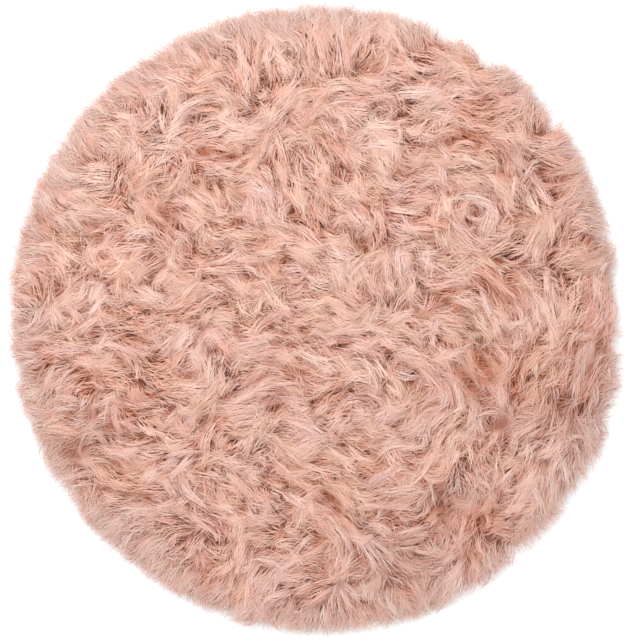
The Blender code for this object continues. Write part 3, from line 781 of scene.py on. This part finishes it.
# One layer's strands: places, heights, roll and half width at every station, and each one's shade.
def growLayer(layer, chance, marked):
    locks = growLocks(layer, chance, marked)
    count = len(locks["roots"])
    wisps = growWisps(layer, count, chance)
    lockOf = np.repeat(np.arange(count), np.round(layer.strands * locks["breadth"]).astype(int))
    total = len(lockOf)
    wispOf = lockOf * layer.wisps + chance.integers(0, layer.wisps, total)
    at = np.array(layer.stations)[None, :] * np.ones((total, 1))
    length = wisps["length"][wispOf] * chance.uniform(*strandSpread["length"], total)
    share = at * length[:, None]
    guide = pointsOn(locks["paths"][lockOf], share)
    way = pointsOn(locks["ways"][lockOf], share)

    # places across the lock, which gathers towards its tip
    loose = 1 - fur["rimLoose"] * rising(readField(shareOf, locks["roots"]), fur["rimLooseBand"])
    gather = (loose * chance.uniform(*layer.gather, count))[lockOf][:, None]
    gather = gather * smoothStep(share * strandSpread["gatherRun"])
    rootSide = wisps["seat"][wispOf] + chance.normal(0, strandSpread["rootSide"], total)
    tipSide = wisps["tipSeat"][wispOf] + chance.normal(0, strandSpread["tipSide"], total)
    width = (layer.width * locks["breadth"])[lockOf][:, None]
    side = width * rootSide[:, None] * (1 - gather) + layer.tip * tipSide[:, None] * gather
    span = width * (1 - gather) + strandSpread["tipSpan"] * layer.tip * gather
    tangle = np.exp(fur["tangleSpread"] * readField(tangleOf, locks["roots"]))[lockOf]
    tangle = layer.fray * fur["tangle"] * tangle
    turn = wisps["turn"][wispOf] + chance.normal(0, 1, total) * tangle
    hook = wisps["hook"][wispOf] + chance.normal(0, strandSpread["hook"], total) * tangle
    sweep = turn[:, None] * share ** 2 + hook[:, None] * share ** 4
    side = side + locks["reach"][lockOf][:, None] * sweep

    # places over the floor plan
    centre = guide + 1j * way * side
    start = layer.locks * chance.uniform(-strandSpread["start"], strandSpread["start"], total)
    centre = centre - way[:, :1] * start[:, None] * (1 - at)
    crimp = chance.normal(0, strandSpread["crimp"], (total, 1))
    phase = chance.uniform(0, strandSpread["crimpPhase"], (total, 1))
    centre = centre + 1j * way * (crimp * np.sin(strandSpread["crimpRate"] * math.pi * at + phase))
    centre = centre + readField(pushOf, centre) * at
    centre = heldIn(centre, chance)

    # heights
    across = np.clip(side / np.maximum(span, 1e-5), -fur["sideMost"], fur["sideMost"])
    level = locks["level"][lockOf] * wisps["level"][wispOf]
    level = (level * chance.uniform(*strandSpread["level"], total))[:, None]
    height = readField(heightOf, centre) * level * (1 - fur["dome"] * across ** 2)
    z = fur["rootHeight"] + height * at ** layer.rise * (1 - fur["droop"] * at ** 6)
    roll = fur["tilt"] * across + chance.normal(0, fur["roll"], (total, 1))

    # tone, from how pale the strand is and where its tip lies, with painted shade on lower strands, on a
    # lock's sides, in hollows and at the rim, painted highlights on a share of strands, and patches partly
    # of painted light and shade
    near, tip = centre[:, -2], centre[:, -1]
    tone = layer.tone + locks["tone"][lockOf] + wisps["tone"][wispOf]
    tone = tone + chance.normal(0, strandSpread["tone"], total)
    # painted highlight on a share of strands
    pale = chance.random(total) < strandSpread["paleShare"]
    tone = tone + np.where(pale, strandSpread["paleTone"], 0.0)
    tone = tone + fur["depthTone"] * (level[:, 0] - 1) - fur["sideTone"] * across[:, -2] ** 2
    tone = tone - fields["hollowTone"] * readField(hollowOf, near)
    tone = tone + fields["patchTone"] * readField(toneAndPaintedLightOf, near)
    tone = tone - fields["rimTone"] * rising(readField(shareOf, tip), fields["rimToneBand"])
    hue = readField(hueOf, tip) + locks["hue"][lockOf]
    hue = hue + chance.normal(0, strandSpread["hue"], total)
    warm = readField(warmOf, tip) + locks["warm"][lockOf]
    warm = warm + chance.normal(0, strandSpread["warm"], total)
    half = 0.5 * chance.uniform(*layer.broad, (total, 1)) * np.ones_like(at)
    return {
        "centre": centre,
        "z": np.clip(z, fur["lowest"], pileHigh.z + fur["proud"]),
        "roll": roll,
        "half": half * np.interp(at, fur["profileAt"], fur["profile"]),
        "hue": hue,
        "warm": warm,
        "tone": easedTone(tone),
    }


# Number of the nearest cell along one side of the fields.
def cellOf(value):
    return np.clip(np.round((value + fieldEdge) / fields["cell"]).astype(int), 0, len(axis) - 1)


# Height of the topmost strands over each place, softened over a few locks.
def topSurface(grown):
    top = np.zeros(gridX.shape)
    for strands in grown:
        for at in np.linspace(*fur["litPlaces"]):
            along = np.full((len(strands["z"]), 1), at)
            place = pointsOn(strands["centre"], along)[:, 0]
            height = pointsOn(strands["z"], along)[:, 0]
            np.maximum.at(top, (cellOf(place.imag), cellOf(place.real)), height)
    return soften(top, fur["litSoften"])


# Corners, faces and shades of one layer's ribbons, each ending in a point.
def ribbons(strands):
    centre, z = strands["centre"], strands["z"]
    count, stations = centre.shape
    points = np.stack([centre.real, centre.imag, z], 2)
    ahead = np.gradient(points, axis=1)
    ahead /= np.linalg.norm(ahead, axis=2, keepdims=True) + 1e-9
    side = np.cross(np.array([0.0, 0.0, 1.0]), ahead)
    side /= np.linalg.norm(side, axis=2, keepdims=True) + 1e-9
    over = np.cross(ahead, side)
    roll = strands["roll"][..., None]
    across = (side * np.cos(roll) - over * np.sin(roll)) * strands["half"][..., None]
    per = 2 * (stations - 1) + 1
    verts = np.empty((count, per, 3))
    verts[:, 0:-1:2] = points[:, :-1] - across[:, :-1]
    verts[:, 1:-1:2] = points[:, :-1] + across[:, :-1]
    verts[:, -1] = points[:, -1]
    verts[..., 2] = np.maximum(verts[..., 2], fur["lowestEdge"])

    first = (np.arange(count) * per)[:, None]
    quads = [first + np.array([2 * k, 2 * k + 2, 2 * k + 3, 2 * k + 1]) for k in range(stations - 2)]
    corners = np.concatenate(quads + [first + np.array([per - 3, per - 1, per - 2])], 1).ravel()
    sizes = np.tile([4] * (stations - 2) + [3], count)
    edge = np.array([-1.0, 1.0] * (stations - 1) + [0.0])
    inside = 0.001  # keeps both shades off the borders of their map
    u = np.clip(strands["tone"][:, None] + fur["edgeTone"] * edge, inside, 1 - inside)
    lit = strands["lit"] - fur["litFall"] * (stations - 1 - np.arange(stations)) / stations
    v = np.maximum(np.concatenate([np.repeat(lit[:, :-1], 2, axis=1), lit[:, -1:]], 1), inside)
    shades = np.stack([u, v], 2).reshape(-1, 2)[corners]
    return verts.reshape(-1, 3), corners, sizes, shades


# One joined mesh of the ribbons of several layers.
def furPiece(name, parts):
    shift = np.cumsum([0] + [len(part[0]) for part in parts[:-1]])
    verts = np.concatenate([part[0] for part in parts])
    corners = np.concatenate([part[1] + start for part, start in zip(parts, shift)])
    sizes = np.concatenate([part[2] for part in parts])
    shades = np.concatenate([part[3] for part in parts])
    mesh = bpy.data.meshes.new(name)
    mesh.vertices.add(len(verts))
    mesh.vertices.foreach_set("co", verts.ravel().astype(np.float32))
    mesh.loops.add(len(corners))
    mesh.loops.foreach_set("vertex_index", corners.astype(np.int32))
    mesh.polygons.add(len(sizes))
    mesh.polygons.foreach_set("loop_start", (np.cumsum(sizes) - sizes).astype(np.int32))
    mesh.polygons.foreach_set("use_smooth", np.ones(len(sizes), bool))
    mesh.update(calc_edges=True)
    layer = mesh.uv_layers.new(name="OFBake")
    layer.data.foreach_set("uv", shades.ravel().astype(np.float32))
    return placeObject(name, mesh)


# finishes

fleece = {
    "deep": (0.715, 0.343, 0.243),
    "pale": (0.912, 0.690, 0.606),
    # root: the colour of painted shade, taken where strands lie well below the top ones
    "root": (0.562, 0.178, 0.089),
    "tints": {                       # share of grey and share of yellow in each part of the pile
        "umber": (0.280, 0.1),
        "ash": (0.160, -0.05),
        "lilac": (0.010, -0.82),
        "blush": (-0.005, 0.0),
        "peach": (-0.005, 0.82),
        "rose": (-0.095, 0.1),
    },
    "hueShares": (0.10, 0.25, 0.83),  # up to which umber, ash and the three middle tints run
    "warmShares": (0.333, 0.667),
    "yellow": (1.0, 1.012, 0.955),   # what one share of yellow does to a colour
    "rootGrey": 0.9,                 # how much of a tint's grey the root colour, the painted shade, takes
    "rootRun": 0.90,                 # share of the lit map over which the root colour, the painted shade, gives way
    "shader": {"Roughness": 0.62, "Specular IOR Level": 0.10, "Sheen Weight": 0.02, "Sheen Roughness": 0.45},
}

luminance = (0.21, 0.72, 0.07)       # how much red, green and blue count in how light a colour is
mixSockets = {"first": 6, "second": 7, "result": 2}  # a colour mix's own sockets


def setInputs(node, values):
    for name, value in values.items():
        node.inputs[name].default_value = value


# Mix of two colours, each a fixed one or a socket.
def mixColours(tree, factor, first, second):
    mix = tree.nodes.new("ShaderNodeMix")
    mix.data_type = "RGBA"
    tree.links.new(factor, mix.inputs["Factor"])
    for name, colour in (("first", first), ("second", second)):
        if isinstance(colour, tuple):
            mix.inputs[mixSockets[name]].default_value = colour
        else:
            tree.links.new(colour, mix.inputs[mixSockets[name]])
    return mix.outputs[mixSockets["result"]]


# Colour of a strand from how pale it is and how far below the top strands a place lies; places well below
# take the root colour, a painted shade.
def strandShadeGroup():
    group = bpy.data.node_groups.new("strandShade", "ShaderNodeTree")
    group.interface.new_socket("Map", in_out="INPUT", socket_type="NodeSocketVector")
    for name in ("Deep", "Pale", "Root"):
        group.interface.new_socket(name, in_out="INPUT", socket_type="NodeSocketColor")
    group.interface.new_socket("Colour", in_out="OUTPUT", socket_type="NodeSocketColor")
    start = group.nodes.new("NodeGroupInput")
    end = group.nodes.new("NodeGroupOutput")
    split = group.nodes.new("ShaderNodeSeparateXYZ")
    group.links.new(start.outputs["Map"], split.inputs[0])
    tone = mixColours(group, split.outputs["X"], start.outputs["Deep"], start.outputs["Pale"])
    # painted shade: the less lit a place, the more the root colour takes over
    lit = group.nodes.new("ShaderNodeMapRange")
    lit.interpolation_type = "SMOOTHSTEP"
    setInputs(lit, {"From Min": 0.0, "From Max": fleece["rootRun"]})
    group.links.new(split.outputs["Y"], lit.inputs["Value"])
    body = mixColours(group, lit.outputs["Result"], start.outputs["Root"], tone)
    group.links.new(body, end.inputs["Colour"])
    return group


def tinted(colour, grey, yellow):
    light = sum(share * c for share, c in zip(luminance, colour))
    greyer = [c + grey * (light - c) for c in colour]
    return tuple(c * part ** yellow for c, part in zip(greyer, fleece["yellow"]))


def fleeceMaterial(group, name, grey, yellow):
    material = bpy.data.materials.new("fleece_" + name)
    material.use_nodes = True
    nodes, links = material.node_tree.nodes, material.node_tree.links
    shader = nodes["Principled BSDF"]
    setInputs(shader, fleece["shader"])
    where = nodes.new("ShaderNodeUVMap")
    where.uv_map = "OFBake"
    shade = nodes.new("ShaderNodeGroup")
    shade.node_tree = group
    # the root colour is the colour of painted shade
    for socket, part in (("Deep", 1.0), ("Pale", 1.0), ("Root", fleece["rootGrey"])):
        colour = tinted(fleece[socket.lower()], part * grey, yellow)
        shade.inputs[socket].default_value = (*colour, 1.0)
    links.new(where.outputs["UV"], shade.inputs["Map"])
    links.new(shade.outputs["Colour"], shader.inputs["Base Color"])
    return material


grown = []
for number, (layerName, layer) in enumerate(layers.items()):
    grown.append(growLayer(layer, np.random.default_rng(fur["seed"] + number), layerName == "marked"))
    print("grew", len(grown[-1]["tone"]), "strands of the", layerName, "layer")

# painted shade: the further a place lies below the top strands, the less lit it counts and the more root
# colour it takes; deeper patches count as lying lower, tips past the rim as higher
topOf = topSurface(grown)
for strands in grown:
    below = readField(topOf, strands["centre"]) - strands["z"] - fur["litFrom"]
    below = below - fields["patchShade"] * readField(toneAndPaintedLightOf, strands["centre"])
    rim = rising(readField(shareOf, strands["centre"]), fields["rimLitBand"])
    below = below - fields["rimLit"] * rim
    strands["lit"] = np.clip(1 - below / fur["litDepth"], *fur["litLimits"])


# Values that cut the strands into parts with the given shares of the faces below them.
def faceCuts(values, faces, shares):
    ranked = np.argsort(values)
    share = np.cumsum(faces[ranked]) / faces.sum()
    return np.interp(shares, share, values[ranked])


def gathered(key):
    return np.concatenate([strands[key] for strands in grown])


# Number of each strand's tint: umber, ash, one of the middle three by how warm it is, or rose.
def tintOf(strands):
    band = np.searchsorted(hueCuts, strands["hue"])
    middleTint = 2 + np.searchsorted(warmCuts, strands["warm"])
    return np.where(band == 2, middleTint, np.where(band == 3, len(fleece["tints"]) - 1, band))


hues, warms = gathered("hue"), gathered("warm")
faces = np.concatenate([np.full(len(strands["hue"]), 2 * strands["z"].shape[1] - 3) for strands in grown])
hueCuts = faceCuts(hues, faces, fleece["hueShares"])
middle = (hues > hueCuts[1]) & (hues <= hueCuts[2])
warmCuts = faceCuts(warms[middle], faces[middle], fleece["warmShares"])
shades = strandShadeGroup()
for number, (name, (grey, yellow)) in enumerate(fleece["tints"].items()):
    parts = []
    for strands in grown:
        mine = tintOf(strands) == number
        parts.append(ribbons({key: values[mine] for key, values in strands.items()}))
    piece = furPiece("pile_" + name, parts)
    piece.data.materials.append(fleeceMaterial(shades, name, grey, yellow))
    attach(piece, "root")
    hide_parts("pile")
    triangles = sum(len(p.vertices) - 2 for p in piece.data.polygons)
    print("drew", piece.name, triangles, "triangles")


# ground cloth under the pile

groundCloth = {
    "inset": 0.001,                  # from its cut edge in to the rooting line
    "thickness": 0.0018,             # from the floor to its top
    "lift": 0.0003,                  # from the floor to its underside
    "rings": 12,
    "columns": 180,
    "colour": (0.62, 0.32, 0.25),
    "shades": (0.85, 1.1),           # how deep and how pale its ribs are
    "shader": {"Roughness": 0.85},
    "ribs": {"Scale": 31.25, "Distortion": 1.5},  # a wave texture's: about 10 mm apart
    "bump": {"Strength": 0.4, "Distance": 0.0004},
}


def buildGroundCloth():
    mesh = bmesh.new()
    rings = []
    for ring in range(1, groundCloth["rings"] + 1):
        row = []
        for column in range(groundCloth["columns"]):
            angle = 2 * math.pi * column / groundCloth["columns"]
            radius = float(outlineRadius(angle)) - outline["rootInset"] + groundCloth["inset"]
            radius *= ring / groundCloth["rings"]
            x, y = radius * math.cos(angle), radius * math.sin(angle)
            row.append(mesh.verts.new((x, y, groundCloth["thickness"])))
        rings.append(row)
    middle = mesh.verts.new((0, 0, groundCloth["thickness"]))
    for column in range(groundCloth["columns"]):
        nextColumn = (column + 1) % groundCloth["columns"]
        mesh.faces.new((middle, rings[0][column], rings[0][nextColumn]))
        for inner, outer in zip(rings, rings[1:]):
            mesh.faces.new((inner[column], outer[column], outer[nextColumn], inner[nextColumn]))
    data = bpy.data.meshes.new("ground_cloth")
    mesh.to_mesh(data)
    mesh.free()
    data.shade_smooth()
    cloth = placeObject("ground_cloth", data)
    thick = cloth.modifiers.new("thickness", "SOLIDIFY")
    thick.thickness = groundCloth["thickness"] - groundCloth["lift"]
    thick.offset = -1.0
    return cloth


def knitMaterial():
    material = bpy.data.materials.new("ground_knit")
    material.use_nodes = True
    nodes, links = material.node_tree.nodes, material.node_tree.links
    shader = nodes["Principled BSDF"]
    setInputs(shader, groundCloth["shader"])
    where = nodes.new("ShaderNodeTexCoord")
    ribs = nodes.new("ShaderNodeTexWave")
    setInputs(ribs, groundCloth["ribs"])
    links.new(where.outputs["Object"], ribs.inputs["Vector"])
    deep, pale = [(*[part * c for c in groundCloth["colour"]], 1.0) for part in groundCloth["shades"]]
    mixed = mixColours(material.node_tree, ribs.outputs["Fac"], deep, pale)
    links.new(mixed, shader.inputs["Base Color"])
    bump = nodes.new("ShaderNodeBump")
    setInputs(bump, groundCloth["bump"])
    links.new(ribs.outputs["Fac"], bump.inputs["Height"])
    links.new(bump.outputs["Normal"], shader.inputs["Normal"])
    return material


cloth = buildGroundCloth()
cloth.data.materials.append(knitMaterial())
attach(cloth, "root")
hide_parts("pile")


# floor, light and camera

studio = {
    "floor": {"Base Color": (0.96, 0.955, 0.955, 1.0), "Roughness": 0.9, "Specular IOR Level": 0.1},
    "floorSize": 6.0,
    "sky": {"Color": (1.0, 1.0, 1.0, 1.0), "Strength": 1.14},
    "keyPower": 20.0,
    "keyPlace": (-0.80, 1.15, 1.75),
    "keySize": 1.4,
    "lens": 100.0,
    "sensor": 36.0,
    "frameHeight": 0.005,            # height at which the photograph's frame is filled
}

floorMesh = bpy.data.meshes.new("floor")
mesh = bmesh.new()
bmesh.ops.create_grid(mesh, x_segments=1, y_segments=1, size=studio["floorSize"])
mesh.to_mesh(floorMesh)
mesh.free()
floor = placeObject("floor", floorMesh)
floorMaterial = bpy.data.materials.new("pale_floor")
floorMaterial.use_nodes = True
setInputs(floorMaterial.node_tree.nodes["Principled BSDF"], studio["floor"])
floorMesh.materials.append(floorMaterial)

world = bpy.data.worlds.new("studio")
world.use_nodes = True
setInputs(world.node_tree.nodes["Background"], studio["sky"])
bpy.context.scene.world = world

keyData = bpy.data.lights.new("key", "AREA")
keyData.energy = studio["keyPower"]
keyData.size = studio["keySize"]
key = placeObject("key", keyData)
key.location = studio["keyPlace"]
key.rotation_euler = (-Vector(studio["keyPlace"])).to_track_quat("-Z", "Y").to_euler()

longSide = photo["height"] * photo["metresPerPixel"]
cameraData = bpy.data.cameras.new("camera")
cameraData.lens = studio["lens"]
cameraData.sensor_width = studio["sensor"]
camera = placeObject("camera", cameraData)
distance = longSide / 2 / (studio["sensor"] / 2 / studio["lens"])
aim = placeOf(photo["width"] / 2, photo["height"] / 2)
camera.location = (aim[0], aim[1], distance + studio["frameHeight"])
bpy.context.scene.camera = camera
bpy.context.scene.view_settings.view_transform = "Standard"
print("studio set")
